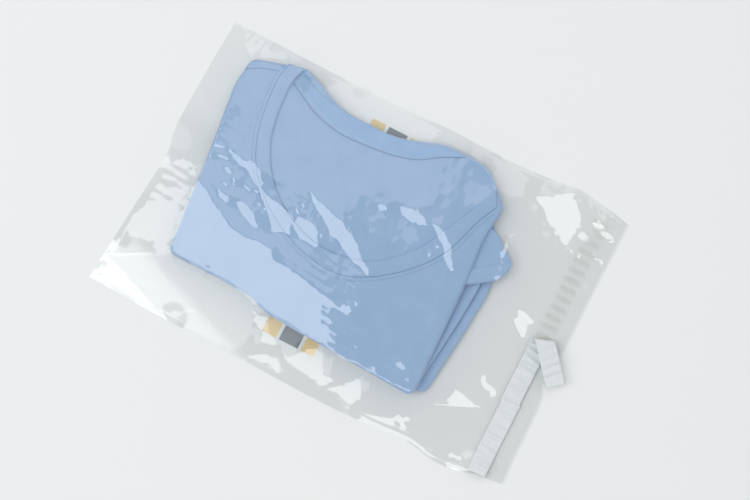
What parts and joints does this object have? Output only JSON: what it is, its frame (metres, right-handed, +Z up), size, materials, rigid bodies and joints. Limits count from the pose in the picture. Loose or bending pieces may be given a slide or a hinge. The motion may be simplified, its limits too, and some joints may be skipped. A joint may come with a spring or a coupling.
{
  "type": "self-seal plastic garment bag",
  "caption": "Clear flat film bag with a line of adhesive across its mouth and a part-peeled release liner, holding a folded scoop-neck T-shirt.",
  "frame": {"origin": "centre of the bag's underside, on the face that it lies on", "axes": "+X from the welded closed end to the open mouth, +Y across the bag, +Z up from the table"},
  "size_m": [0.4038, 0.264, 0.0166],
  "materials": {
    "clear_film": "clear gloss polythene film",
    "adhesive": "clear tacky adhesive line",
    "liner_film": "satin silicone-coated film",
    "jersey": "soft single jersey knit",
    "rib_knit": "fine rib knit"
  },
  "bodies": {
    "root": {"film_pouch": "clear_film", "adhesive_strip": "adhesive", "release_liner": "liner_film", "shirt_body": "jersey", "neckband": "rib_knit", "sleeve_right": "jersey", "sleeve_left": "jersey"}
  },
  "joints": []
}
